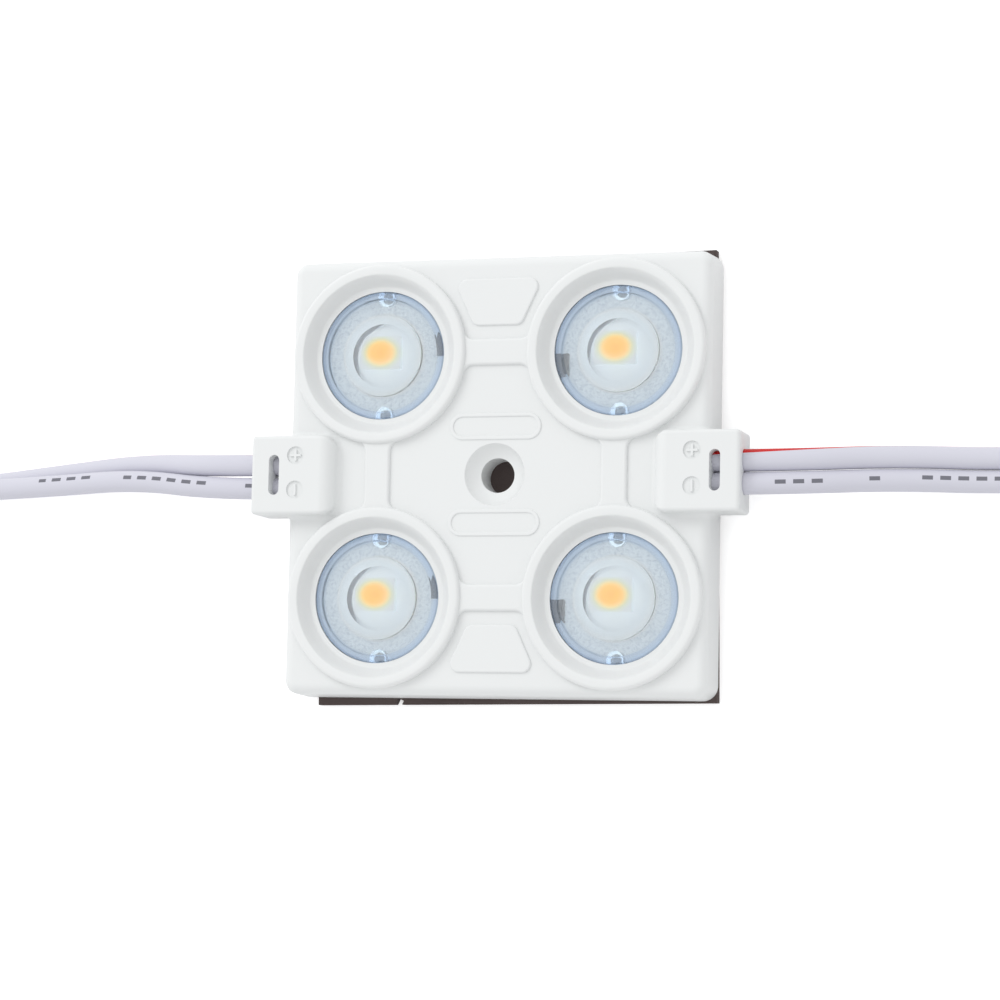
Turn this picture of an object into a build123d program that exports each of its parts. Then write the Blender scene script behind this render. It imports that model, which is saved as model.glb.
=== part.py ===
from build123d import *
import os
from math import pi, radians, tan

os.makedirs("parts", exist_ok=True)

# Four-lens LED sign module, lenses up, millimetres.
# Origin: underside of the release liner, on the axis of the centre screw hole.
# X runs along the two cables, Y across them, Z away from the mounting surface.

# mounting tape and its liner, stuck on a little askew
liner_thick = 0.12
tape_thick = 0.8
tape_wide = 35.8
tape_tall = 38.8
tape_turn = 0.9
tape_shift_x = 0.74
tape_shift_y = -0.12
nick_x = -10.5
nick_wide = 0.6
nick_deep = 0.5
nick_turn = -25.0

# moulded housing
body_deep = 3.75
body_corner = 1.3
body_draft = 3.0
wall_thick = 1.65
shoulder_round = 0.9
roof_thick = 1.2
inner_corner = 0.8

# screw hole with its dished rim, and the tube that carries it through the board
hole_r = 1.5
dish_r = 2.7
dish_deep = 1.0
dish_arc_r = 2.2
tube_r = 2.7
spigot_r = 2.1

# circuit board and the cover behind it
cover_thick = 0.6
cover_gap = 0.08
board_thick = 0.8
edge_gap = 0.15
board_ledge = 0.7

# lens bosses and their funnels
boss_gap = 5.5
boss_margin_x = 0.55
boss_margin_y = 0.65
boss_high = 0.7
crest_wide = 0.9
crest_round_in = 0.2
crest_round_out = 0.36
funnel_wide = 0.9
collar_wide = 0.47
collar_thick = 0.55
collar_round = 0.25

# clear lenses
lens_rim_r = 5.58
lens_gap = 0.05
lens_flange_wide = 0.62
lens_flange_thick = 0.45
lens_foot_high = 0.75
lens_rim_high = 0.5
lens_edge_round = 0.12
moat_round = 0.1
moat_rim_wide = 0.53
moat_slope = 0.12
moat_deep = 0.25
dome_r = 3.62
dome_skirt = 0.5
dome_round = 0.6
dome_high = 1.75
pocket_r = 2.5
pocket_high = 1.05
foot_r = 0.75
peg_r = 0.45
peg_gap = 0.05
peg_rim_gap = 0.43
peg_short = 0.05

# raised bridges, pads and bare capsules on the face
bridge_wide = 2.3
bridge_high = 0.33
bridge_flare = 1.0
bridge_round = 0.27
bridge_root = 0.05
pad_edge_gap = 2.1
pad_bridge_gap = 1.15
pad_outer_half = 4.05
pad_inner_half = 2.15
pad_corner = 0.8
pad_high = 0.2
pad_round = 0.16
capsule_y = 4.15
capsule_long = 8.2
capsule_wide = 2.3
capsule_line = 0.32
capsule_high = 0.11
capsule_round = 0.08

# cable glands, placed from the side walls of the housing
gland_out = 2.75
gland_in = 4.7
gland_root_in = 1.0
gland_overlap = 1.4
gland_above = 1.58
gland_below = 2.02
gland_corner = 1.1
gland_crown_round = 1.25
gland_edge_round = 0.35
gland_root_round = 0.5
slot_in = 2.12
slot_long = 3.5
slot_wide = 0.95
mark_in = 4.08
mark_r = 0.77
mark_deep = 0.16
mark_spread = 1.5
mark_shift = 0.2
mark_line = 0.2
mark_long = 0.98
pocket_in = 2.2
pocket_wall = 0.5
pocket_roof = 1.0

# leads
wire_d = 1.9
wire_z = 4.25
wire_gap = 0.03
wire_inset = 0.2
left_spread = 1.05
right_spread = 0.97
core_d = 0.9
core_bend = 1.0
core_reach = 0.4
bare_long = 5.0
solder_r = 0.85
solder_top_r = 0.58
solder_high = 0.6
solder_gap = 0.02

# parts on the board
led_long = 3.5
led_wide = 2.8
led_high = 0.7
led_shift_x = -0.45
led_shift_y = 0.35
window_long = 2.7
window_wide = 2.1
window_deep = 0.35
window_corner = 0.35
window_slope = 25.0
chip_long = 2.0
chip_wide = 1.25
chip_high = 0.5
chip_edge = 0.05
chip_rim_gap = 0.28
chip_up = 1.05
driver_y = 6.6
driver_long = 2.9
driver_wide = 1.6
driver_high = 0.9
driver_lead_wide = 0.4
driver_lead_thick = 0.15
driver_lead_out = 0.6
driver_lead_pitch = 0.95
diode_y = -6.6
diode_long = 2.7
diode_wide = 1.6
diode_high = 0.95
diode_slope = 8.0
diode_tab_wide = 0.9

# how far a cutting shape runs past the surface that it opens, and how close counts as level with
overshoot = 1.0
close = 0.01


def finish(piece, label):
    """names a finished piece and writes its file"""
    piece.label = label
    export_step(piece, f"parts/{label}.step")


def cap_radius(half_wide, high):
    """radius of the sphere that a cap of this half width and height is cut from"""
    return (half_wide**2 + high**2) / (2 * high)


def level_faces(piece, height):
    """the faces of a piece that lie at this height"""
    return piece.faces().filter_by_position(Axis.Z, height - close, height + close)


def upright(x, y):
    """a plane standing on X and Z through the vertical axis at x, y"""
    return Plane(origin=(x, y, 0), x_dir=(1, 0, 0), z_dir=(0, -1, 0))


# levels that follow from the sizes above
z_back = liner_thick + tape_thick
z_panel = z_back + body_deep
z_roof = z_panel - roof_thick
z_cover_top = z_back + cover_thick
z_board = z_cover_top + cover_gap
z_board_top = z_board + board_thick
z_lens_base = z_board_top + lens_foot_high
z_flange_top = z_lens_base + lens_flange_thick
z_rim = z_flange_top + lens_rim_high
z_collar = z_flange_top + collar_thick
z_crest = z_panel + boss_high
z_dish = z_panel - dish_deep
z_gland_top = z_panel + gland_above
z_gland_under = wire_z - gland_below
z_moat = z_rim - moat_deep
wire_r = wire_d / 2
core_r = core_d / 2
z_dome = z_moat + dome_high

# outlines and places that follow too, from the lens outwards
lens_flange_r = lens_rim_r + lens_flange_wide
moat_outer_r = lens_rim_r - moat_rim_wide
peg_spread = lens_rim_r - peg_rim_gap
chip_in = lens_rim_r - chip_rim_gap
collar_r = lens_rim_r + collar_wide
crest_inner_r = collar_r + funnel_wide
boss_r = crest_inner_r + crest_wide
lens_pitch = 2 * boss_r + boss_gap
half_pitch = lens_pitch / 2
gland_wide = boss_gap + gland_overlap
pocket_half = gland_wide / 2 - pocket_wall
body_wide = lens_pitch + 2 * (boss_r + boss_margin_x)
body_tall = lens_pitch + 2 * (boss_r + boss_margin_y)
pad_outer_y = body_tall / 2 - pad_edge_gap
pad_inner_y = half_pitch + bridge_wide / 2 + pad_bridge_gap
cavity_wide = body_wide - 2 * wall_thick
cavity_tall = body_tall - 2 * wall_thick
board_wide = cavity_wide - 2 * edge_gap
board_tall = cavity_tall - 2 * edge_gap
gland_tip_x = body_wide / 2 + gland_out
gland_inner_x = body_wide / 2 - gland_in
gland_skirt_x = body_wide / 2 - gland_root_in
slot_x = gland_tip_x - slot_in
mark_x = gland_tip_x - mark_in
pocket_inner_x = board_wide / 2 - pocket_in
wire_start_x = board_wide / 2 - wire_inset

pocket_arc_r = cap_radius(pocket_r, pocket_high)
dome_arc_r = cap_radius(dome_r, dome_high - dome_skirt)

spots = {
    "top_left": (-half_pitch, half_pitch),
    "top_right": (half_pitch, half_pitch),
    "bottom_left": (-half_pitch, -half_pitch),
    "bottom_right": (half_pitch, -half_pitch),
}
pegs = [(x, y + side * peg_spread) for x, y in spots.values() for side in (-1, 1)]

# right gland: a block with a domed inner end that overhangs the side wall
with BuildPart() as gland:
    with BuildSketch(Plane.XZ) as profile:
        with BuildLine():
            Polyline(
                (gland_inner_x, z_roof),
                (gland_inner_x, z_gland_top),
                (gland_tip_x, z_gland_top),
                (gland_tip_x, z_gland_under),
                (gland_skirt_x, z_gland_under),
                (gland_skirt_x, z_roof),
                close=True,
            )
        make_face()
        fillet(profile.vertices().sort_by_distance((gland_inner_x, z_gland_top))[0], gland_crown_round)
    extrude(amount=gland_wide / 2, both=True)
    with BuildSketch(Plane.XY.offset(z_gland_under)) as plan:
        with Locations(((gland_inner_x + gland_tip_x) / 2, 0)):
            Rectangle(gland_tip_x - gland_inner_x, gland_wide)
        fillet(plan.vertices().group_by(Axis.X)[0], gland_corner)
        fillet(plan.vertices().group_by(Axis.X)[-1], gland_edge_round)
    extrude(amount=z_gland_top - z_gland_under, mode=Mode.INTERSECT)
    crown = gland.faces().sort_by(Axis.Z)[-1]
    fillet(crown.edges().sort_by(Axis.X)[1:], gland_edge_round)
    for side in (-1, 1):
        with BuildSketch(Plane.XY.offset(z_gland_top)):
            with Locations((mark_x, mark_shift + side * mark_spread)):
                Circle(mark_r)
                Rectangle(mark_line, mark_long, mode=Mode.SUBTRACT)
                if side > 0:
                    Rectangle(mark_long, mark_line, mode=Mode.SUBTRACT)
        extrude(amount=-mark_deep, mode=Mode.SUBTRACT)

# low relief of the face: bridges that link the bosses in a ring and flare into them,
# two pads and two bare capsules, each with its crown rounded before they are joined
with BuildPart() as bridges:
    with BuildSketch(Plane.XY.offset(z_panel)) as plan:
        RectangleRounded(lens_pitch + bridge_wide, lens_pitch + bridge_wide, bridge_wide)
        Rectangle(lens_pitch - bridge_wide, lens_pitch - bridge_wide, mode=Mode.SUBTRACT)
        with Locations(*spots.values()):
            Circle(boss_r - bridge_root)
        fillet(plan.vertices(), bridge_flare)
    extrude(amount=bridge_high)
    fillet(level_faces(bridges, z_panel + bridge_high).edges(), bridge_round)

with BuildPart() as pads:
    for side in (-1, 1):
        corners = [
            (-pad_outer_half, side * pad_outer_y),
            (pad_outer_half, side * pad_outer_y),
            (pad_inner_half, side * pad_inner_y),
            (-pad_inner_half, side * pad_inner_y),
        ]
        with BuildSketch(Plane.XY.offset(z_panel)) as plan:
            with BuildLine():
                Polyline(*corners[::-side], close=True)
            make_face()
            fillet(plan.vertices(), pad_corner)
        extrude(amount=pad_high)
    fillet(level_faces(pads, z_panel + pad_high).edges(), pad_round)

with BuildPart() as capsules:
    with BuildSketch(Plane.XY.offset(z_panel)):
        with Locations((0, capsule_y), (0, -capsule_y)):
            SlotOverall(capsule_long, capsule_wide)
            SlotOverall(capsule_long - 2 * capsule_line, capsule_wide - 2 * capsule_line, mode=Mode.SUBTRACT)
    extrude(amount=capsule_high)
    fillet(level_faces(capsules, z_panel + capsule_high).edges(), capsule_round)

# housing: one moulding with shoulders, bosses, bridges, pads and both glands
with BuildPart() as housing:
    with BuildSketch(Plane.XY.offset(z_back)):
        RectangleRounded(body_wide, body_tall, body_corner)
    extrude(amount=body_deep, taper=body_draft)
    fillet(housing.faces().sort_by(Axis.Z)[-1].edges(), shoulder_round)

    with BuildSketch(Plane.XY.offset(z_roof)):
        with Locations(*spots.values()):
            Circle(boss_r)
    extrude(amount=z_crest - z_roof)

    add(bridges.part)
    add(pads.part)
    add(capsules.part)
    add(gland.part)
    add(mirror(gland.part, about=Plane.YZ, mode=Mode.PRIVATE))
    roots = housing.edges().filter_by(lambda edge: abs(abs((edge @ 0.5).Y) - gland_wide / 2) < close)
    roots = roots.filter_by(lambda edge: gland_skirt_x < abs((edge @ 0.5).X) < body_wide / 2)
    roots = roots.filter_by_position(Axis.Z, z_gland_under + close, z_panel - shoulder_round)
    fillet(roots, gland_root_round)

    # room for the cover and board, and for the parts on the board
    with BuildSketch(Plane.XY.offset(z_back)):
        RectangleRounded(cavity_wide, cavity_tall, inner_corner)
    extrude(amount=z_board_top - z_back, mode=Mode.SUBTRACT)
    with BuildSketch(Plane.XY.offset(z_board_top)):
        RectangleRounded(board_wide - 2 * board_ledge, board_tall - 2 * board_ledge, inner_corner)
    extrude(amount=z_roof - z_board_top, mode=Mode.SUBTRACT)
    with BuildSketch(Plane.XY.offset(z_board_top)):
        for side in (-1, 1):
            with Locations((side * (pocket_inner_x + cavity_wide / 2) / 2, 0)):
                Rectangle(cavity_wide / 2 - pocket_inner_x, 2 * pocket_half)
    extrude(amount=z_gland_top - pocket_roof - z_board_top, mode=Mode.SUBTRACT)

    # screw tube, stepped where the board sits on it
    with BuildSketch(Plane.XY.offset(z_board_top)):
        Circle(tube_r)
    extrude(amount=z_roof - z_board_top)
    with BuildSketch(Plane.XY.offset(z_back)):
        Circle(spigot_r)
    extrude(amount=z_board_top - z_back)
    with BuildSketch(Plane.XZ):
        with BuildLine():
            Polyline(
                (hole_r, z_dish),
                (hole_r, z_back),
                (0, z_back),
                (0, z_panel + overshoot),
                (dish_r, z_panel + overshoot),
                (dish_r, z_panel),
            )
            RadiusArc((dish_r, z_panel), (hole_r, z_dish), dish_arc_r)
        make_face()
    revolve(axis=Axis.Z, mode=Mode.SUBTRACT)

    # funnel, collar and lens seat at each boss
    for x, y in spots.values():
        with BuildSketch(upright(x, y)) as funnel:
            with BuildLine():
                Polyline(
                    (0, z_board_top),
                    (lens_flange_r + lens_gap, z_board_top),
                    (lens_flange_r + lens_gap, z_flange_top),
                    (lens_rim_r + lens_gap, z_flange_top),
                    (lens_rim_r + lens_gap, z_collar),
                    (collar_r, z_collar),
                    (crest_inner_r, z_crest),
                    (crest_inner_r, z_crest + overshoot),
                    (0, z_crest + overshoot),
                    close=True,
                )
            make_face()
            fillet(funnel.vertices().sort_by_distance((collar_r, z_collar))[0], collar_round)
        revolve(axis=Axis((x, y, 0), (0, 0, 1)), mode=Mode.SUBTRACT)

    for radius, rounding in ((crest_inner_r, crest_round_in), (boss_r, crest_round_out)):
        crests = housing.edges().filter_by(GeomType.CIRCLE)
        crests = crests.filter_by_position(Axis.Z, z_crest - close, z_crest + close)
        fillet(crests.filter_by(lambda edge: abs(edge.radius - radius) < close), rounding)

    # wire passages and the slot above them
    for side, spread in ((1, right_spread), (-1, left_spread)):
        with BuildSketch(Plane.YZ.offset(side * cavity_wide / 2)):
            with Locations((spread, wire_z), (-spread, wire_z)):
                Circle(wire_r + wire_gap)
        extrude(amount=side * (gland_tip_x - cavity_wide / 2), mode=Mode.SUBTRACT)
    with BuildSketch(Plane.XY.offset(wire_z)):
        with Locations((slot_x, 0), (-slot_x, 0)):
            SlotOverall(slot_long, slot_wide, rotation=90)
    extrude(amount=z_gland_top - wire_z, mode=Mode.SUBTRACT)

finish(housing.part, "housing")

# back cover, let into the housing behind the board
with BuildPart() as cover:
    with BuildSketch(Plane.XY.offset(z_back)):
        RectangleRounded(board_wide, board_tall, inner_corner)
        Circle(spigot_r + edge_gap, mode=Mode.SUBTRACT)
    extrude(amount=cover_thick)
    chamfer(cover.faces().sort_by(Axis.Z)[-1].outer_wire().edges(), edge_gap)
finish(cover.part, "back_cover")

# adhesive tape and liner share one outline, nicked at the lower edge
for label, low, thick in (("adhesive_tape", liner_thick, tape_thick), ("release_liner", 0, liner_thick)):
    with BuildPart() as sheet:
        with BuildSketch(Plane.XY.offset(low)):
            with Locations(Location((tape_shift_x, tape_shift_y, 0), (0, 0, tape_turn))):
                Rectangle(tape_wide, tape_tall)
                with Locations((nick_x, -tape_tall / 2)):
                    Rectangle(nick_wide, 2 * nick_deep, rotation=nick_turn, mode=Mode.SUBTRACT)
        extrude(amount=thick)
    finish(sheet.part, label)

# circuit board with the spigot hole and two peg holes for each lens
with BuildPart() as board:
    with BuildSketch(Plane.XY.offset(z_board)):
        RectangleRounded(board_wide, board_tall, inner_corner)
        Circle(spigot_r + edge_gap, mode=Mode.SUBTRACT)
        with Locations(*pegs):
            Circle(peg_r + peg_gap, mode=Mode.SUBTRACT)
    extrude(amount=board_thick)
finish(board.part, "circuit_board")

for place, (x, y) in spots.items():
    # lens: flange, rim, moat and dome in one turn, over a hollow for the diode
    with BuildPart() as lens:
        with BuildSketch(upright(x, y)) as half:
            with BuildLine():
                RadiusArc((0, z_lens_base + pocket_high), (pocket_r, z_lens_base), pocket_arc_r)
                Polyline(
                    (pocket_r, z_lens_base),
                    (lens_flange_r, z_lens_base),
                    (lens_flange_r, z_flange_top),
                    (lens_rim_r, z_flange_top),
                    (lens_rim_r, z_rim),
                    (moat_outer_r, z_rim),
                    (moat_outer_r - moat_slope, z_moat),
                    (dome_r, z_moat),
                    (dome_r, z_moat + dome_skirt),
                )
                RadiusArc((0, z_dome), (dome_r, z_moat + dome_skirt), dome_arc_r)
                Line((0, z_dome), (0, z_lens_base + pocket_high))
            make_face()
            for corner_r, corner_z, rounding in (
                (dome_r, z_moat + dome_skirt, dome_round),
                (dome_r, z_moat, moat_round),
                (moat_outer_r - moat_slope, z_moat, moat_round),
                (moat_outer_r, z_rim, lens_edge_round),
                (lens_rim_r, z_rim, lens_edge_round),
            ):
                fillet(half.vertices().sort_by_distance((corner_r, corner_z))[0], rounding)
        revolve(axis=Axis((x, y, 0), (0, 0, 1)))
        with BuildSketch(Plane.XY.offset(z_board_top)):
            with Locations((x, y - peg_spread), (x, y + peg_spread)):
                Circle(foot_r)
        extrude(amount=lens_foot_high)
        with BuildSketch(Plane.XY.offset(z_board + peg_short)):
            with Locations((x, y - peg_spread), (x, y + peg_spread)):
                Circle(peg_r)
        extrude(amount=board_thick - peg_short)
    finish(lens.part, f"lens_{place}")

    # light-emitting diode: a white cup with its window filled by phosphor, a little off the lens axis
    seat = Plane(origin=(x + led_shift_x, y + led_shift_y, z_board_top))
    window = seat.offset(led_high)
    with BuildPart() as led:
        with BuildSketch(seat):
            RectangleRounded(led_long, led_wide, window_corner / 2)
        extrude(amount=led_high)
        with BuildSketch(window):
            RectangleRounded(window_long, window_wide, window_corner)
        extrude(amount=-window_deep, taper=window_slope, mode=Mode.SUBTRACT)
    finish(led.part, f"led_{place}")
    with BuildPart() as phosphor:
        with BuildSketch(window):
            RectangleRounded(window_long, window_wide, window_corner)
        extrude(amount=-window_deep, taper=window_slope)
    finish(phosphor.part, f"phosphor_{place}")

    # chip resistor beside each lens, on the side of the module's centre
    inward = 1 if x < 0 else -1
    with BuildPart() as chip:
        with BuildSketch(Plane(origin=(x + inward * chip_in, y + inward * chip_up, z_board_top))):
            Rectangle(chip_wide, chip_long)
        extrude(amount=chip_high)
        chamfer(chip.faces().sort_by(Axis.Z)[-1].edges(), chip_edge)
    finish(chip.part, f"resistor_{place}")

# driver: moulded body on six formed leads
with BuildPart() as driver:
    with BuildSketch(Plane(origin=(0, driver_y, z_board_top + driver_lead_thick))):
        Rectangle(driver_long, driver_wide)
    extrude(amount=driver_high - driver_lead_thick, taper=diode_slope)
    with BuildSketch(Plane(origin=(0, driver_y, z_board_top))):
        with GridLocations(driver_lead_pitch, driver_wide + driver_lead_out, 3, 2):
            Rectangle(driver_lead_wide, driver_lead_out + driver_lead_thick)
    extrude(amount=driver_lead_thick)
    with BuildSketch(Plane(origin=(0, driver_y, z_board_top))):
        with GridLocations(driver_lead_pitch, driver_wide, 3, 2):
            Rectangle(driver_lead_wide, 2 * driver_lead_thick)
    extrude(amount=driver_high / 2)
finish(driver.part, "driver_chip")

# reverse-polarity diode with a tab at each end
with BuildPart() as diode:
    with BuildSketch(Plane(origin=(0, diode_y, z_board_top))):
        Rectangle(diode_long, diode_wide)
    extrude(amount=diode_high, taper=diode_slope)
    with BuildSketch(Plane(origin=(0, diode_y, z_board_top))):
        Rectangle(diode_long + 2 * driver_lead_out, diode_tab_wide)
    extrude(amount=driver_lead_thick)
finish(diode.part, "reverse_diode")

# Leads: each conductor leaves its gland straight, sinks to the surface that the
# module lies on, and ends in a stripped tip. The left pair twists as it goes.
leads = {
    "right_positive": [
        (wire_start_x, right_spread, wire_z),
        (25.6, right_spread, wire_z),
        (34.2, 1.42, 2.0),
        (42.9, 1.16, 0.97),
        (51.4, 1.5, 0.96),
        (58.0, 1.3, 0.96),
    ],
    "right_negative": [
        (wire_start_x, -right_spread, wire_z),
        (25.6, -right_spread, wire_z),
        (34.2, -0.53, 2.0),
        (42.9, -0.79, 0.97),
        (51.4, -0.45, 0.96),
        (58.0, -0.65, 0.96),
    ],
    "left_positive": [
        (-wire_start_x, left_spread, wire_z),
        (-25.6, left_spread, wire_z),
        (-33.8, 1.55, 1.7),
        (-42.2, 0.75, 0.97),
        (-50.4, -0.2, 0.96),
        (-57.0, -0.5, 0.96),
    ],
    "left_negative": [
        (-wire_start_x, -left_spread, wire_z),
        (-25.6, -left_spread, wire_z),
        (-33.8, 0.05, 3.3),
        (-42.2, -0.4, 2.65),
        (-50.4, -0.8, 2.84),
        (-57.0, -0.95, 2.82),
    ],
}


def corner_radii(points):
    """the largest tangent arc that each corner of a route has room for"""
    radii = []
    for before, here, after in zip(points, points[1:], points[2:]):
        arriving = Vector(*here) - Vector(*before)
        leaving = Vector(*after) - Vector(*here)
        half_turn = radians(arriving.get_angle(leaving)) / 2
        radii.append(0.45 * min(arriving.length, leaving.length) / tan(half_turn))
    return radii


for name, points in leads.items():
    radii = corner_radii(points)
    with BuildPart() as wire:
        with BuildLine():
            route = FilletPolyline(*points, radius=radii)
        with BuildSketch(Plane(origin=route @ 0, z_dir=route % 0)):
            Circle(wire_r)
        sweep()
    finish(wire.part, f"wire_{name}")
    print(
        name,
        "length", round(route.length, 2),
        "volume", round(wire.part.volume, 3),
        "section by length", round(route.length * pi * wire_r**2, 3),
        "radii", [round(radius, 1) for radius in radii],
    )

    # stripped tip at the free end
    with BuildPart() as tip:
        with BuildSketch(Plane(origin=route @ 1, z_dir=route % 1)):
            Circle(core_r)
        extrude(amount=bare_long)
    finish(tip.part, f"wire_tip_{name}")

    # core inside the gland, bent down to its pad on the board
    side = 1 if points[0][0] > 0 else -1
    start_x, start_y = points[0][0], points[0][1]
    pad_x = start_x - side * (core_reach + core_bend)
    with BuildPart() as core:
        with BuildLine() as bend:
            FilletPolyline(
                (start_x, start_y, wire_z),
                (pad_x, start_y, wire_z),
                (pad_x, start_y, z_board_top),
                radius=core_bend,
            )
        with BuildSketch(Plane(origin=bend.line @ 0, z_dir=bend.line % 0)):
            Circle(core_r)
        sweep()
    finish(core.part, f"core_{name}")

    # solder cone around the core on its pad
    with BuildPart() as solder:
        with BuildSketch(Plane(origin=(pad_x, start_y, z_board_top))):
            Circle(solder_r)
        with BuildSketch(Plane(origin=(pad_x, start_y, z_board_top + solder_high))):
            Circle(solder_top_r)
        loft()
        with Locations((pad_x, start_y, z_board_top + solder_high / 2)):
            Cylinder(core_r + solder_gap, 2 * solder_high, mode=Mode.SUBTRACT)
    finish(solder.part, f"solder_{name}")
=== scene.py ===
import math

import bmesh
import bpy
from mathutils import Matrix, Vector


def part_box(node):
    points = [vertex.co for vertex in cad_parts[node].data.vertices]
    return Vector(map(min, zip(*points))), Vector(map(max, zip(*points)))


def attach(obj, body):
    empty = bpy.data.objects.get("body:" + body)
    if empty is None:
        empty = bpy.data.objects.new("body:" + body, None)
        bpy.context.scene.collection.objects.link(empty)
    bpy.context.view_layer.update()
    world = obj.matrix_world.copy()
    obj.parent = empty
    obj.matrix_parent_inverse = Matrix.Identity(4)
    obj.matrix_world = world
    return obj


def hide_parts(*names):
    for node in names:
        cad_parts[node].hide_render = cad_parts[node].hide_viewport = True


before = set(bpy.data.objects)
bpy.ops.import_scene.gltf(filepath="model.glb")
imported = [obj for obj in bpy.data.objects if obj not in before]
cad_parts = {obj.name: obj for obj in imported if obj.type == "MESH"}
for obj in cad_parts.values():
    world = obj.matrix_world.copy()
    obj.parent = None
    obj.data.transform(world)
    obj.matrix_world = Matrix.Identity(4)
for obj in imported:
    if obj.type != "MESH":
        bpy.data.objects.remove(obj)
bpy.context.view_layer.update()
scene = bpy.context.scene

LENS_PLACES = ("top_left", "top_right", "bottom_left", "bottom_right")
LEAD_NAMES = ("right_positive", "right_negative", "left_positive", "left_negative")

HALF_PITCH = 0.0106
LENS_RADIUS = 0.0062
DOME_FOOT_RADIUS = 0.00372
MOAT_RADIUS = 0.00485
DIODE_SHIFT = (-0.00045, 0.00035, 0.0)
LENS_GLOW_SHIFT = (0.0, 0.00025, 0.0)


# Camera

def set_camera():
    """The photograph's viewpoint: above the right side, a little below the middle."""
    data = bpy.data.cameras.new("camera")
    data.sensor_width = 36.0
    data.lens = 107.519
    data.clip_start = 0.01
    data.clip_end = 20.0
    camera = bpy.data.objects.new("camera", data)
    eye = Vector((0.074656, -0.027522, 0.247914))
    aim = Vector((0.0000325, -0.002046, 0.003))
    upright = Vector((-0.02213, 1.0, 0.0))
    back = (eye - aim).normalized()
    right = upright.cross(back).normalized()
    up = back.cross(right)
    turned = Matrix((right, up, back)).transposed().to_4x4()
    camera.matrix_world = Matrix.Translation(eye) @ turned
    scene.collection.objects.link(camera)
    scene.camera = camera


set_camera()


# Small helpers

def add_object(name, mesh):
    """A mesh as an object of the module, riding on its one body."""
    obj = bpy.data.objects.new(name, mesh)
    scene.collection.objects.link(obj)
    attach(obj, "root")
    return obj


def soften(mesh, angle=30.0):
    """Smooth shading that keeps edges sharper than the angle."""
    mesh.shade_smooth()
    mesh.set_sharp_from_angle(angle=math.radians(angle))


# Leads: one line for each conductor, then its insulation around it

WIRE_RADIUS = 0.00095
CUT_ROUND = 0.00006
CUT_SHARES = (0.45, 0.92)
LEAD_ROUTES = {
    "right_positive": [
        (0.0170, 0.00097, 0.00425), (0.0256, 0.00097, 0.00425), (0.0342, 0.00142, 0.00200),
        (0.0429, 0.00116, 0.00097), (0.0514, 0.00150, 0.00096), (0.0580, 0.00130, 0.00096),
    ],
    "right_negative": [
        (0.0170, -0.00097, 0.00425), (0.0256, -0.00097, 0.00425), (0.0342, -0.00053, 0.00200),
        (0.0429, -0.00079, 0.00097), (0.0514, -0.00045, 0.00096), (0.0580, -0.00065, 0.00096),
    ],
    "left_positive": [
        (-0.0170, 0.00105, 0.00425), (-0.0256, 0.00105, 0.00425), (-0.0338, 0.00155, 0.00170),
        (-0.0422, 0.00075, 0.00097), (-0.0504, -0.00020, 0.00096), (-0.0570, -0.00050, 0.00096),
    ],
    "left_negative": [
        (-0.0170, -0.00105, 0.00425), (-0.0256, -0.00105, 0.00425), (-0.0338, 0.00005, 0.00330),
        (-0.0422, -0.00040, 0.00265), (-0.0504, -0.00080, 0.00284), (-0.0570, -0.00095, 0.00282),
    ],
}


def lead_line(name):
    """The points of the smooth line that a conductor follows."""
    curve = bpy.data.curves.new("line_" + name, "CURVE")
    curve.dimensions = "3D"
    curve.resolution_u = 16
    spline = curve.splines.new("NURBS")
    route = LEAD_ROUTES[name]
    spline.points.add(len(route) - 1)
    for point, place in zip(spline.points, route):
        point.co = (*place, 1.0)
    spline.order_u = 3
    spline.use_endpoint_u = True
    obj = bpy.data.objects.new("line_" + name, curve)
    scene.collection.objects.link(obj)
    mesh = bpy.data.meshes.new_from_object(obj)
    points = [vertex.co.copy() for vertex in mesh.vertices]
    bpy.data.objects.remove(obj)
    bpy.data.meshes.remove(mesh)
    bpy.data.curves.remove(curve)
    return points


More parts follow.
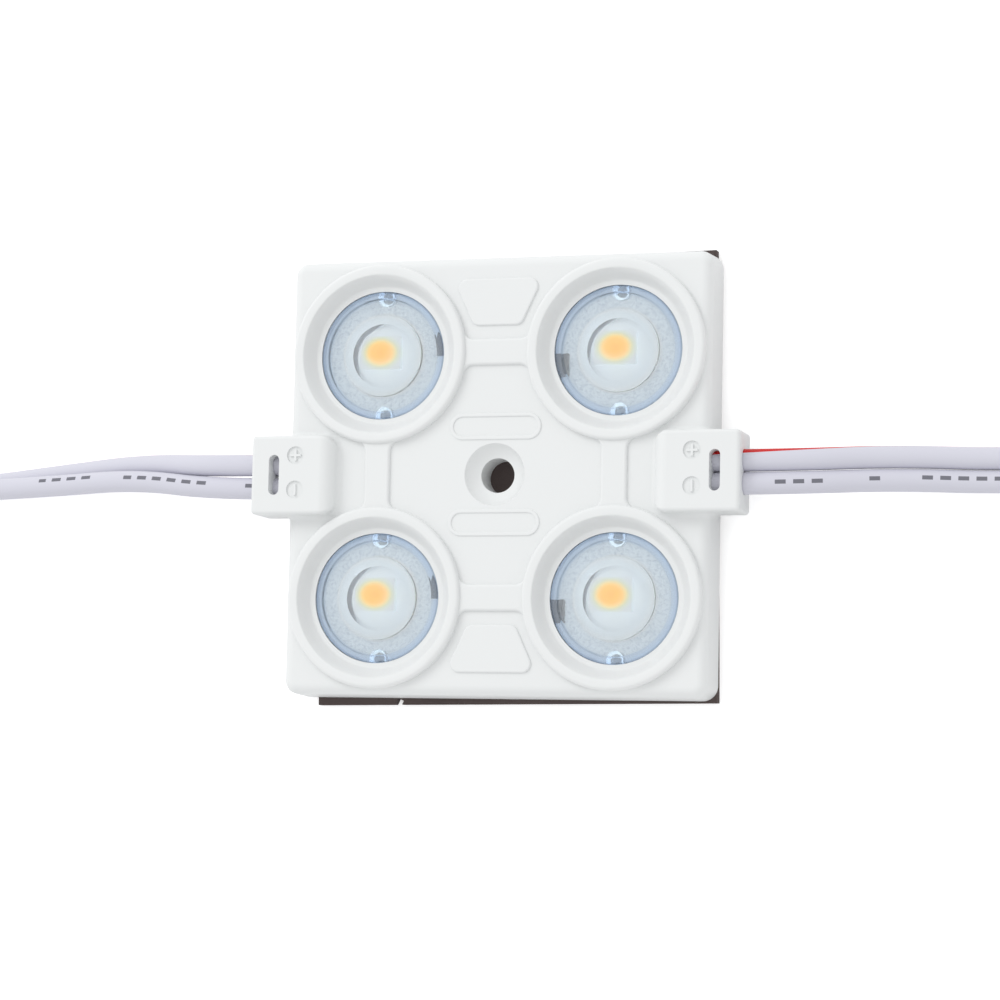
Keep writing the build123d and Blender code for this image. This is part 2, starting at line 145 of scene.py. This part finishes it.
def insulation_mesh(name, points, sides=40):
    """A round sleeve along the line, with a softened cut at each end.

    The map holds metres along the lead and turns around it, with no turn at the top.
    """
    start, end = points[0], points[-1]
    first = (points[1] - start).normalized()
    last = (end - points[-2]).normalized()
    rings = [(start, first, share) for share in CUT_SHARES]
    rings.append((start + first * CUT_ROUND, first, 1.0))
    for before, here, after in zip(points, points[1:], points[2:]):
        rings.append((here, (after - before).normalized(), 1.0))
    rings.append((end - last * CUT_ROUND, last, 1.0))
    rings += [(end, last, share) for share in reversed(CUT_SHARES)]

    bm = bmesh.new()
    layer = bm.loops.layers.uv.new("lead_map")
    grid = []
    travel = []
    run = 0.0
    for number, (centre, along, share) in enumerate(rings):
        if number:
            run += (centre - rings[number - 1][0]).length
        travel.append(run)
        across = Vector((0.0, 0.0, 1.0)).cross(along).normalized()
        upward = along.cross(across)
        ring = []
        for side in range(sides):
            turn = 2 * math.pi * side / sides
            spoke = upward * math.cos(turn) + across * math.sin(turn)
            ring.append(bm.verts.new(centre + spoke * WIRE_RADIUS * share))
        grid.append(ring)
    for low in range(len(grid) - 1):
        for side in range(sides):
            after = (side + 1) % sides
            corners = (grid[low][side], grid[low + 1][side], grid[low + 1][after], grid[low][after])
            face = bm.faces.new(corners)
            places = (
                (travel[low], side / sides),
                (travel[low + 1], side / sides),
                (travel[low + 1], (side + 1) / sides),
                (travel[low], (side + 1) / sides),
            )
            for loop, place in zip(face.loops, places):
                loop[layer].uv = place
    for ring, order in ((grid[0], 1), (grid[-1], -1)):
        face = bm.faces.new(ring[::order])
        for loop in face.loops:
            loop[layer].uv = (travel[0] if order > 0 else travel[-1], 0.5)
    bmesh.ops.recalc_face_normals(bm, faces=bm.faces)
    mesh = bpy.data.meshes.new("insulation_" + name)
    bm.to_mesh(mesh)
    bm.free()
    soften(mesh, 50.0)
    return mesh


lead_lines = {name: lead_line(name) for name in LEAD_NAMES}
insulation = {
    name: add_object("insulation_" + name, insulation_mesh(name, lead_lines[name])) for name in LEAD_NAMES
}


# Bare strands at the end of each lead

# Each layer is its count of strands, the radius of its ring and its turns over the bare length.
STRAND_LAYERS = ((1, 0.000001, 0.2), (6, 0.00018, 0.45), (12, 0.00035, 0.6))
STRAND_INPUTS = (
    ("Strands", "NodeSocketInt", 6),
    ("Strand Radius", "NodeSocketFloat", 0.00009),
    ("Ring Radius", "NodeSocketFloat", 0.00018),
    ("Length", "NodeSocketFloat", 0.005),
    ("Turns", "NodeSocketFloat", 0.6),
    ("Finish", "NodeSocketMaterial", None),
)


def strand_ring_tree():
    """A tree that winds a ring of strands around the upright axis."""
    tree = bpy.data.node_groups.new("strand_ring", "GeometryNodeTree")
    for label, kind, value in STRAND_INPUTS:
        socket = tree.interface.new_socket(label, in_out="INPUT", socket_type=kind)
        if value is not None:
            socket.default_value = value
    tree.interface.new_socket("Geometry", in_out="OUTPUT", socket_type="NodeSocketGeometry")
    nodes, links = tree.nodes, tree.links
    given = nodes.new("NodeGroupInput")
    spiral = nodes.new("GeometryNodeCurveSpiral")
    spiral.inputs["Resolution"].default_value = 18
    links.new(given.outputs["Turns"], spiral.inputs["Rotations"])
    links.new(given.outputs["Ring Radius"], spiral.inputs["Start Radius"])
    links.new(given.outputs["Ring Radius"], spiral.inputs["End Radius"])
    links.new(given.outputs["Length"], spiral.inputs["Height"])
    section = nodes.new("GeometryNodeCurvePrimitiveCircle")
    section.inputs["Resolution"].default_value = 8
    links.new(given.outputs["Strand Radius"], section.inputs["Radius"])
    strand = nodes.new("GeometryNodeCurveToMesh")
    strand.inputs["Fill Caps"].default_value = True
    links.new(spiral.outputs["Curve"], strand.inputs["Curve"])
    links.new(section.outputs["Curve"], strand.inputs["Profile Curve"])
    points = nodes.new("GeometryNodePoints")
    links.new(given.outputs["Strands"], points.inputs["Count"])
    index = nodes.new("GeometryNodeInputIndex")
    share = nodes.new("ShaderNodeMath")
    share.operation = "DIVIDE"
    links.new(index.outputs["Index"], share.inputs[0])
    links.new(given.outputs["Strands"], share.inputs[1])
    turn = nodes.new("ShaderNodeMath")
    turn.operation = "MULTIPLY"
    turn.inputs[1].default_value = 2 * math.pi
    links.new(share.outputs["Value"], turn.inputs[0])
    spin = nodes.new("ShaderNodeCombineXYZ")
    links.new(turn.outputs["Value"], spin.inputs["Z"])
    lay = nodes.new("GeometryNodeInstanceOnPoints")
    links.new(points.outputs["Points"], lay.inputs["Points"])
    links.new(strand.outputs["Mesh"], lay.inputs["Instance"])
    links.new(spin.outputs["Vector"], lay.inputs["Rotation"])
    real = nodes.new("GeometryNodeRealizeInstances")
    links.new(lay.outputs["Instances"], real.inputs["Geometry"])
    finish = nodes.new("GeometryNodeSetMaterial")
    links.new(real.outputs["Geometry"], finish.inputs["Geometry"])
    links.new(given.outputs["Finish"], finish.inputs["Material"])
    result = nodes.new("NodeGroupOutput")
    links.new(finish.outputs["Geometry"], result.inputs["Geometry"])
    return tree


def socket_key(tree, label):
    """The identifier of a tree's input."""
    for item in tree.interface.items_tree:
        if item.item_type == "SOCKET" and item.in_out == "INPUT" and item.name == label:
            return item.identifier


def strand_layer(tree, count, ring_radius, turns, finish):
    """One ring of strands as a plain mesh, standing on the origin."""
    holder = bpy.data.objects.new("strand_layer", bpy.data.meshes.new("strand_layer"))
    scene.collection.objects.link(holder)
    modifier = holder.modifiers.new("strands", "NODES")
    modifier.node_group = tree
    settings = {"Strands": count, "Ring Radius": ring_radius, "Turns": turns, "Finish": finish}
    for label, value in settings.items():
        modifier[socket_key(tree, label)] = value
    depsgraph = bpy.context.evaluated_depsgraph_get()
    mesh = bpy.data.meshes.new_from_object(holder.evaluated_get(depsgraph))
    bpy.data.objects.remove(holder)
    return mesh


def bare_end(name, tree, finish):
    """The stripped strands that stand out of a lead's insulation."""
    points = lead_lines[name]
    along = (points[-1] - points[-2]).normalized()
    stand = Matrix.Translation(points[-1]) @ along.to_track_quat("Z", "Y").to_matrix().to_4x4()
    bm = bmesh.new()
    for count, ring_radius, turns in STRAND_LAYERS:
        layer = strand_layer(tree, count, ring_radius, turns, finish)
        layer.transform(stand)
        bm.from_mesh(layer)
        bpy.data.meshes.remove(layer)
    bmesh.ops.recalc_face_normals(bm, faces=bm.faces)
    mesh = bpy.data.meshes.new("strands_" + name)
    bm.to_mesh(mesh)
    bm.free()
    mesh.materials.append(finish)
    soften(mesh, 50.0)
    return add_object("strands_" + name, mesh)


# Shader groups shared by several finishes

def new_group(name, inputs, outputs):
    """An empty shader group with its sockets and both end nodes."""
    group = bpy.data.node_groups.new(name, "ShaderNodeTree")
    for label, kind, value in inputs:
        group.interface.new_socket(label, in_out="INPUT", socket_type=kind).default_value = value
    for label, kind in outputs:
        group.interface.new_socket(label, in_out="OUTPUT", socket_type=kind)
    return group, group.nodes.new("NodeGroupInput"), group.nodes.new("NodeGroupOutput")


def math_node(tree, operation, first, second=None, clamp=False):
    """A math node fed by sockets or numbers; gives its output."""
    node = tree.nodes.new("ShaderNodeMath")
    node.operation = operation
    node.use_clamp = clamp
    for slot, value in enumerate((first, second)):
        if value is None:
            continue
        if isinstance(value, (int, float)):
            node.inputs[slot].default_value = value
        else:
            tree.links.new(value, node.inputs[slot])
    return node.outputs["Value"]


def mix_colour(tree, share, first, second, blend="MIX"):
    """A colour mix fed by sockets or colours; gives its output."""
    node = tree.nodes.new("ShaderNodeMix")
    node.data_type = "RGBA"
    node.blend_type = blend
    for slot, value in ((0, share), (6, first), (7, second)):
        if isinstance(value, (int, float, tuple)):
            node.inputs[slot].default_value = value
        else:
            tree.links.new(value, node.inputs[slot])
    return node.outputs[2]


def noise_value(tree, place, scale, detail=3.0, roughness=0.5):
    """A noise pattern read at a place; gives its value."""
    node = tree.nodes.new("ShaderNodeTexNoise")
    node.inputs["Detail"].default_value = detail
    node.inputs["Roughness"].default_value = roughness
    tree.links.new(place, node.inputs["Vector"])
    if isinstance(scale, (int, float)):
        node.inputs["Scale"].default_value = scale
    else:
        tree.links.new(scale, node.inputs["Scale"])
    return node.outputs["Fac"]


def make_moulded_surface():
    """Fine spark-eroded grain, faint flow clouds and a little uneven gloss."""
    group, given, result = new_group(
        "moulded_surface",
        (
            ("Colour", "NodeSocketColor", (0.8, 0.8, 0.8, 1.0)),
            ("Cloud Colour", "NodeSocketColor", (0.7, 0.7, 0.7, 1.0)),
            ("Cloud Share", "NodeSocketFloat", 0.2),
            ("Gloss Level", "NodeSocketFloat", 0.4),
            ("Gloss Spread", "NodeSocketFloat", 0.08),
            ("Grain Scale", "NodeSocketFloat", 9000.0),
        ),
        (("Colour", "NodeSocketColor"), ("Roughness", "NodeSocketFloat"), ("Height", "NodeSocketFloat")),
    )
    place = group.nodes.new("ShaderNodeTexCoord").outputs["Object"]
    cloud = noise_value(group, place, 110.0, 2.0)
    grain = noise_value(group, place, given.outputs["Grain Scale"], 2.0, 0.6)
    amount = math_node(group, "MULTIPLY", cloud, given.outputs["Cloud Share"], True)
    colour = mix_colour(group, amount, given.outputs["Colour"], given.outputs["Cloud Colour"])
    swing = math_node(group, "SUBTRACT", noise_value(group, place, 420.0, 3.0), 0.5)
    gloss = math_node(group, "MULTIPLY", swing, given.outputs["Gloss Spread"])
    group.links.new(colour, result.inputs["Colour"])
    group.links.new(math_node(group, "ADD", gloss, given.outputs["Gloss Level"]), result.inputs["Roughness"])
    group.links.new(grain, result.inputs["Height"])
    return group


def make_lead_band():
    """A mask for a line or a row of dashes printed along a lead."""
    group, given, result = new_group(
        "lead_band",
        (
            ("Start", "NodeSocketFloat", 0.0),
            ("End", "NodeSocketFloat", 0.01),
            ("Turn", "NodeSocketFloat", 0.0),
            ("Twist", "NodeSocketFloat", 0.0),
            ("Half Width", "NodeSocketFloat", 0.05),
            ("Dash", "NodeSocketFloat", 0.001),
            ("Gap", "NodeSocketFloat", 0.0),
        ),
        (("Mask", "NodeSocketFloat"),),
    )
    chart = group.nodes.new("ShaderNodeUVMap")
    chart.uv_map = "lead_map"
    split = group.nodes.new("ShaderNodeSeparateXYZ")
    group.links.new(chart.outputs["UV"], split.inputs["Vector"])
    along, around = split.outputs["X"], split.outputs["Y"]
    past = math_node(group, "SUBTRACT", along, given.outputs["Start"])
    begun = math_node(group, "GREATER_THAN", past, 0.0)
    unfinished = math_node(group, "LESS_THAN", along, given.outputs["End"])
    pitch = math_node(group, "ADD", given.outputs["Dash"], given.outputs["Gap"])
    phase = math_node(group, "FRACT", math_node(group, "DIVIDE", past, pitch))
    inked = math_node(group, "LESS_THAN", phase, math_node(group, "DIVIDE", given.outputs["Dash"], pitch))
    drift = math_node(group, "MULTIPLY", past, given.outputs["Twist"])
    middle = math_node(group, "ADD", given.outputs["Turn"], drift)
    lag = math_node(group, "SUBTRACT", around, middle)
    wrapped = math_node(group, "FRACT", math_node(group, "ADD", lag, 10.5))
    off = math_node(group, "ABSOLUTE", math_node(group, "SUBTRACT", wrapped, 0.5))
    narrow = math_node(group, "LESS_THAN", off, given.outputs["Half Width"])
    span = math_node(group, "MULTIPLY", begun, unfinished)
    row = math_node(group, "MULTIPLY", inked, narrow)
    group.links.new(math_node(group, "MULTIPLY", span, row), result.inputs["Mask"])
    return group


def make_diode_halo():
    """How far a place is from the middle of its diode: 0 there, 1 at the edge of the halo."""
    group, given, result = new_group(
        "diode_halo",
        (
            ("Middle", "NodeSocketVector", DIODE_SHIFT),
            ("Half Pitch", "NodeSocketFloat", HALF_PITCH),
            ("Halo Radius", "NodeSocketFloat", 0.0024),
            ("Flatness", "NodeSocketFloat", 1.22),
        ),
        (("Share", "NodeSocketFloat"),),
    )
    place = group.nodes.new("ShaderNodeTexCoord").outputs["Object"]
    shifted = group.nodes.new("ShaderNodeVectorMath")
    shifted.operation = "SUBTRACT"
    group.links.new(place, shifted.inputs[0])
    group.links.new(given.outputs["Middle"], shifted.inputs[1])
    split = group.nodes.new("ShaderNodeSeparateXYZ")
    group.links.new(shifted.outputs["Vector"], split.inputs["Vector"])
    sides = []
    for axis in ("X", "Y"):
        mirrored = math_node(group, "ABSOLUTE", split.outputs[axis])
        sides.append(math_node(group, "SUBTRACT", mirrored, given.outputs["Half Pitch"]))
    stretched = math_node(group, "MULTIPLY", sides[1], given.outputs["Flatness"])
    squares = [math_node(group, "MULTIPLY", side, side) for side in (sides[0], stretched)]
    reach = math_node(group, "SQRT", math_node(group, "ADD", squares[0], squares[1]))
    share = math_node(group, "DIVIDE", reach, given.outputs["Halo Radius"], True)
    group.links.new(share, result.inputs["Share"])
    return group


moulded_surface = make_moulded_surface()
lead_band = make_lead_band()
diode_halo = make_diode_halo()


# Finishes

def new_finish(name):
    """An empty material with a Principled shader; gives material, tree and shader."""
    material = bpy.data.materials.new(name)
    material.use_nodes = True
    return material, material.node_tree, material.node_tree.nodes["Principled BSDF"]


def place_group(tree, group, **values):
    """One use of a shared group, with values for its named inputs."""
    node = tree.nodes.new("ShaderNodeGroup")
    node.node_tree = group
    for label, value in values.items():
        node.inputs[label.replace("_", " ")].default_value = value
    return node


def add_bump(tree, shader, height, distance, strength=1.0):
    """Relief on a shader from a height."""
    bump = tree.nodes.new("ShaderNodeBump")
    bump.inputs["Strength"].default_value = strength
    bump.inputs["Distance"].default_value = distance
    tree.links.new(height, bump.inputs["Height"])
    tree.links.new(bump.outputs["Normal"], shader.inputs["Normal"])


# Colour of the painted glow that a moulded finish may give off.
PAINTED_COOL_GLOW = (0.80, 0.92, 1.0, 1.0)


def moulded_finish(
    name, colour, cloud, share=0.25, gloss=0.4, spread=0.08, relief=0.000004, grain=9000.0, painted_glow=0.0,
):
    """A plain material of one colour with faint clouds; the painted glow is emission that stands for light
    gathered inside, though the part is no lamp.
    """
    material, tree, shader = new_finish(name)
    surface = place_group(
        tree, moulded_surface, Colour=(*colour, 1.0), Cloud_Colour=(*cloud, 1.0), Cloud_Share=share,
        Gloss_Level=gloss, Gloss_Spread=spread, Grain_Scale=grain,
    )
    tree.links.new(surface.outputs["Colour"], shader.inputs["Base Color"])
    tree.links.new(surface.outputs["Roughness"], shader.inputs["Roughness"])
    shader.inputs["Emission Color"].default_value = PAINTED_COOL_GLOW
    shader.inputs["Emission Strength"].default_value = painted_glow
    add_bump(tree, shader, surface.outputs["Height"], relief)
    return material


def lead_finish(name, bands):
    """White cable sleeve with lines or dashes; a band is its colour and its settings."""
    material, tree, shader = new_finish(name)
    surface = place_group(
        tree, moulded_surface, Colour=(0.645, 0.643, 0.715, 1.0), Cloud_Colour=(0.595, 0.592, 0.67, 1.0),
        Cloud_Share=0.5, Gloss_Level=0.42, Gloss_Spread=0.10, Grain_Scale=2500.0,
    )
    shader.inputs["Specular IOR Level"].default_value = 0.3
    colour = surface.outputs["Colour"]
    for ink, settings in bands:
        band = place_group(tree, lead_band, **settings)
        colour = mix_colour(tree, band.outputs["Mask"], colour, (*ink, 1.0))
    tree.links.new(colour, shader.inputs["Base Color"])
    tree.links.new(surface.outputs["Roughness"], shader.inputs["Roughness"])
    add_bump(tree, shader, surface.outputs["Height"], 0.000006)
    return material


def colour_steps(tree, share, steps):
    """A run of colours along a share from 0 to 1; gives its output."""
    ramp = tree.nodes.new("ShaderNodeValToRGB")
    ramp.color_ramp.interpolation = "EASE"
    marks = ramp.color_ramp.elements
    for number, (spot, tone) in enumerate(steps):
        mark = marks[number] if number < 2 else marks.new(spot)
        mark.position = spot
        mark.color = (*tone, 1.0)
    tree.links.new(share, ramp.inputs["Fac"])
    return ramp.outputs["Color"]


def lens_finish():
    """Slightly milky, faintly blue lens plastic, stippled in the moat. Its colour carries painted light: a
    white painted highlight ring near the dome's edge, a bluer band of painted shade that darkens to a deep
    blue at the rim, and the diode's warm glow painted around it.
    """
    material, tree, shader = new_finish("lens_clear")
    shader.inputs["Transmission Weight"].default_value = 0.79
    shader.inputs["IOR"].default_value = 1.49
    place = tree.nodes.new("ShaderNodeTexCoord").outputs["Object"]
    ring = tree.nodes.new("ShaderNodeAttribute")
    ring.attribute_name = "lens_radius"
    reach = ring.outputs["Fac"]
    outside_dome = math_node(tree, "GREATER_THAN", reach, DOME_FOOT_RADIUS)
    inside_rim = math_node(tree, "LESS_THAN", reach, MOAT_RADIUS)
    moat = math_node(tree, "MULTIPLY", outside_dome, inside_rim)
    speckle = noise_value(tree, place, 3600.0, 2.0, 0.7)
    ripple = noise_value(tree, place, 500.0, 2.0)
    # Faint blue tint along the radius, with a white painted highlight ring near the dome's edge and painted
    # shade, bluer and darker, towards the rim.
    tint_with_painted_light = colour_steps(tree, math_node(tree, "MULTIPLY", reach, 1.0 / LENS_RADIUS), (
        (0.000, (0.925, 0.958, 0.98)),
        (0.500, (0.915, 0.952, 0.98)),
        (0.575, (1.000, 1.000, 1.00)),
        (0.625, (0.935, 0.972, 1.00)),
        (0.780, (0.920, 0.965, 1.00)),
        (0.815, (0.830, 0.905, 1.00)),
        (0.870, (0.760, 0.855, 0.99)),
        (0.895, (0.450, 0.540, 0.69)),
    ))
    # Painted glow: the diode's warm light painted into the lens colour around it.
    painted_glow = place_group(tree, diode_halo, Middle=LENS_GLOW_SHIFT).outputs["Share"]
    painted_diode_glow = colour_steps(tree, painted_glow, (
        (0.25, (1.00, 0.92, 0.66)),
        (0.68, (1.00, 1.00, 1.00)),
    ))
    tint_and_painted_glow = mix_colour(tree, 1.0, tint_with_painted_light, painted_diode_glow, "MULTIPLY")
    spot_level = 0.45
    spot_share = 0.42
    dark_spots = math_node(tree, "LESS_THAN", speckle, spot_level)
    spots = math_node(tree, "MULTIPLY", math_node(tree, "MULTIPLY", moat, dark_spots), spot_share)
    tree.links.new(mix_colour(tree, spots, tint_and_painted_glow, (0.62, 0.68, 0.76, 1.0)), shader.inputs["Base Color"])
    stipple = math_node(tree, "MULTIPLY", moat, speckle)
    height = math_node(tree, "ADD", stipple, math_node(tree, "MULTIPLY", ripple, 0.25))
    add_bump(tree, shader, height, 0.00003, 0.6)
    clear_roughness = 0.045
    moat_roughness = 0.08
    frost = math_node(tree, "MULTIPLY", moat, moat_roughness)
    tree.links.new(math_node(tree, "ADD", frost, clear_roughness), shader.inputs["Roughness"])
    return material


def diode_colour_and_painted_glow(tree, shader):
    """Warm orange over the diode that fades through yellow to white, with painted glow: emission on a diode
    with no lamp, and the warm colour painted past its window onto the white cup.
    """
    share = place_group(tree, diode_halo, Middle=DIODE_SHIFT).outputs["Share"]
    colour = colour_steps(tree, share, (
        (0.00, (1.00, 0.42, 0.06)),
        (0.34, (1.00, 0.48, 0.08)),
        (0.47, (1.00, 0.66, 0.18)),
        (0.57, (0.94, 0.88, 0.48)),
        (0.70, (0.91, 0.94, 0.80)),
        (0.84, (0.92, 0.94, 0.95)),
    ))
    # Painted glow: emission colour over the diode, fading to a cool tone that matches the board's painted
    # glow.
    painted_glow = colour_steps(tree, share, (
        (0.00, (1.00, 0.42, 0.07)),
        (0.36, (1.00, 0.50, 0.10)),
        (0.50, (0.74, 0.50, 0.15)),
        (0.64, (0.30, 0.34, 0.27)),
        (0.80, (0.27, 0.31, 0.335)),
    ))
    tree.links.new(colour, shader.inputs["Base Color"])
    tree.links.new(painted_glow, shader.inputs["Emission Color"])
    shader.inputs["Emission Strength"].default_value = 0.85


def phosphor_finish():
    """Warm phosphor in the diode's window, a little grainy, with a painted glow."""
    material, tree, shader = new_finish("phosphor")
    diode_colour_and_painted_glow(tree, shader)
    grain = noise_value(tree, tree.nodes.new("ShaderNodeTexCoord").outputs["Object"], 4200.0)
    roughness = math_node(tree, "ADD", math_node(tree, "MULTIPLY", grain, 0.2), 0.3)
    tree.links.new(roughness, shader.inputs["Roughness"])
    add_bump(tree, shader, grain, 0.00001, 0.5)
    return material


def cup_finish():
    """White diode cup with painted glow: the phosphor's warm colour painted onto it near its window, and
    emission, though it is no lamp.
    """
    material, tree, shader = new_finish("led_cup")
    diode_colour_and_painted_glow(tree, shader)
    surface = place_group(tree, moulded_surface, Gloss_Level=0.45, Gloss_Spread=0.08)
    tree.links.new(surface.outputs["Roughness"], shader.inputs["Roughness"])
    add_bump(tree, shader, surface.outputs["Height"], 0.000004)
    return material


def tinned_finish(name, colour):
    """Tinned copper or solder, bright with small scratches."""
    material, tree, shader = new_finish(name)
    surface = place_group(
        tree, moulded_surface, Colour=(*colour, 1.0), Cloud_Colour=(0.55, 0.50, 0.46, 1.0), Cloud_Share=0.35,
        Gloss_Level=0.28, Gloss_Spread=0.22, Grain_Scale=5000.0,
    )
    shader.inputs["Metallic"].default_value = 1.0
    tree.links.new(surface.outputs["Colour"], shader.inputs["Base Color"])
    tree.links.new(surface.outputs["Roughness"], shader.inputs["Roughness"])
    add_bump(tree, shader, surface.outputs["Height"], 0.000008)
    return material


RED = (0.60, 0.012, 0.012)
GREY = (0.17, 0.17, 0.20)
STRIPE_END = 0.05


def stripe(start, end, turn, twist):
    """Settings for the red line of a positive lead."""
    return RED, dict(Start=start, End=end, Turn=turn, Twist=twist, Half_Width=0.085, Dash=1.0, Gap=0.0)


def dashes(start, end, turn):
    """Settings for a run of plain grey dashes."""
    return GREY, dict(Start=start, End=end, Turn=turn, Twist=0.0, Half_Width=0.03, Dash=0.0009, Gap=0.0006)


finishes = {
    "housing": moulded_finish(
        "housing_white", (0.79, 0.803, 0.802), (0.755, 0.77, 0.769), share=0.35, gloss=0.38, spread=0.07,
    ),
    "cover": moulded_finish("cover_white", (0.82, 0.83, 0.82), (0.76, 0.77, 0.76), share=0.4, gloss=0.5),
    "tape": moulded_finish(
        "foam_tape", (0.055, 0.038, 0.036), (0.11, 0.085, 0.08),
        share=0.9, gloss=0.85, spread=0.1, relief=0.00002, grain=3500.0,
    ),
    "liner": moulded_finish(
        "liner_film", (0.17, 0.135, 0.125), (0.11, 0.085, 0.08),
        share=0.6, gloss=0.55, spread=0.1, relief=0.000006, grain=1500.0,
    ),
    # The board's glow is painted light: emission that brightens the board seen through the lenses.
    "board": moulded_finish(
        "board_laminate", (0.93, 0.945, 0.95), (0.90, 0.915, 0.92),
        share=0.4, gloss=0.35, spread=0.1, painted_glow=0.34,
    ),
    "led": cup_finish(),
    "resistor": moulded_finish(
        "resistor_black", (0.018, 0.018, 0.022), (0.06, 0.06, 0.065), share=0.6, gloss=0.35,
    ),
    "package": moulded_finish(
        "package_black", (0.02, 0.02, 0.022), (0.045, 0.045, 0.05), share=0.6, gloss=0.5,
    ),
    "lens": lens_finish(),
    "phosphor": phosphor_finish(),
    "tin": tinned_finish("tinned_copper", (0.78, 0.76, 0.73)),
    "solder": tinned_finish("solder", (0.72, 0.73, 0.75)),
}

# Print runs from a start to an end in metres along the sleeve, at a turn around it from the top.
lead_finishes = {
    "right_positive": lead_finish("sleeve_right_positive", [stripe(0.0, STRIPE_END, 0.14, 9.0)]),
    "left_positive": lead_finish("sleeve_left_positive", [
        stripe(0.0, 0.0145, -0.195, -16.9), stripe(0.0145, STRIPE_END, -0.44, 0.0),
    ]),
    "right_negative": lead_finish("sleeve_right_negative", [
        dashes(0.0074, 0.0119, 0.0), dashes(0.0151, 0.0164, 0.015), dashes(0.0195, 0.0300, 0.03),
    ]),
    "left_negative": lead_finish("sleeve_left_negative", [
        dashes(0.0048, 0.0062, -0.03), dashes(0.0095, 0.0178, -0.05), dashes(0.0212, 0.0264, -0.08),
    ]),
}


# Pieces taken over from the solids, with smooth rounds

MERGE_DISTANCE = 0.000001


def dressed(node_name, finish, centre=None):
    """A merged, smooth copy of a solid that stands for it in the looks."""
    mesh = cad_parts[node_name].data.copy()
    bm = bmesh.new()
    bm.from_mesh(mesh)
    bmesh.ops.remove_doubles(bm, verts=bm.verts, dist=MERGE_DISTANCE)
    bm.to_mesh(mesh)
    bm.free()
    if "custom_normal" in mesh.attributes:
        mesh.attributes.remove(mesh.attributes["custom_normal"])
    soften(mesh)
    if centre is not None:
        ring = mesh.attributes.new("lens_radius", "FLOAT", "POINT")
        for vertex in mesh.vertices:
            ring.data[vertex.index].value = math.hypot(vertex.co.x - centre[0], vertex.co.y - centre[1])
    mesh.materials.clear()
    mesh.materials.append(finishes[finish])
    obj = add_object("dressed_" + node_name, mesh)
    weights = obj.modifiers.new("even_normals", "WEIGHTED_NORMAL")
    weights.keep_sharp = True
    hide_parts(node_name)
    return obj


dressed("housing", "housing")
dressed("back_cover", "cover")
dressed("adhesive_tape", "tape")
dressed("release_liner", "liner")
dressed("circuit_board", "board")
dressed("driver_chip", "package")
dressed("reverse_diode", "package")
for place in LENS_PLACES:
    low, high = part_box("lens_" + place)
    middle = ((low[0] + high[0]) / 2, (low[1] + high[1]) / 2)
    dressed("lens_" + place, "lens", centre=middle)
    dressed("led_" + place, "led")
    dressed("phosphor_" + place, "phosphor")
    dressed("resistor_" + place, "resistor")
for name in LEAD_NAMES:
    dressed("core_" + name, "tin")
    dressed("solder_" + name, "solder")

strand_tree = strand_ring_tree()
for name in LEAD_NAMES:
    sleeve = insulation[name]
    sleeve.data.materials.append(lead_finishes[name])
    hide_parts("wire_" + name)
    strands = bare_end(name, strand_tree, finishes["tin"])
    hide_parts("wire_tip_" + name)


# Floor and light

FLOOR_HALF = 1.5
FLOOR_HEIGHT = -0.00002
FLOOR_LIFT = 0.45


def make_floor():
    """A plain pale floor under the module, lifted to white where the camera sees it."""
    mesh = bpy.data.meshes.new("floor")
    signs = ((-1, -1), (1, -1), (1, 1), (-1, 1))
    corners = [(x * FLOOR_HALF, y * FLOOR_HALF, FLOOR_HEIGHT) for x, y in signs]
    mesh.from_pydata(corners, [], [(0, 1, 2, 3)])
    material, tree, shader = new_finish("floor_white")
    shader.inputs["Base Color"].default_value = (0.92, 0.92, 0.92, 1.0)
    shader.inputs["Roughness"].default_value = 0.9
    shader.inputs["Emission Color"].default_value = (1.0, 1.0, 1.0, 1.0)
    seen = tree.nodes.new("ShaderNodeLightPath").outputs["Is Camera Ray"]
    tree.links.new(math_node(tree, "MULTIPLY", seen, FLOOR_LIFT), shader.inputs["Emission Strength"])
    mesh.materials.append(material)
    floor = bpy.data.objects.new("floor", mesh)
    scene.collection.objects.link(floor)


def soft_panel(name, place, aim, size, power):
    """A square soft light turned towards a point."""
    data = bpy.data.lights.new(name, "AREA")
    data.shape = "SQUARE"
    data.size = size
    data.energy = power
    lamp = bpy.data.objects.new(name, data)
    lamp.visible_glossy = False
    lamp.visible_transmission = False
    direction = Vector(aim) - Vector(place)
    lamp.matrix_world = Matrix.Translation(place) @ direction.to_track_quat("-Z", "Y").to_matrix().to_4x4()
    scene.collection.objects.link(lamp)


def make_light():
    """Even room light with a soft key from the upper left."""
    world = bpy.data.worlds.new("room")
    world.use_nodes = True
    background = world.node_tree.nodes["Background"]
    background.inputs["Color"].default_value = (0.99, 0.995, 1.0, 1.0)
    background.inputs["Strength"].default_value = 0.915
    scene.world = world
    soft_panel("key", (-0.42, 0.45, 0.50), (0.0, 0.0, 0.0), 0.40, 1.9)
    scene.view_settings.view_transform = "Standard"


make_floor()
make_light()
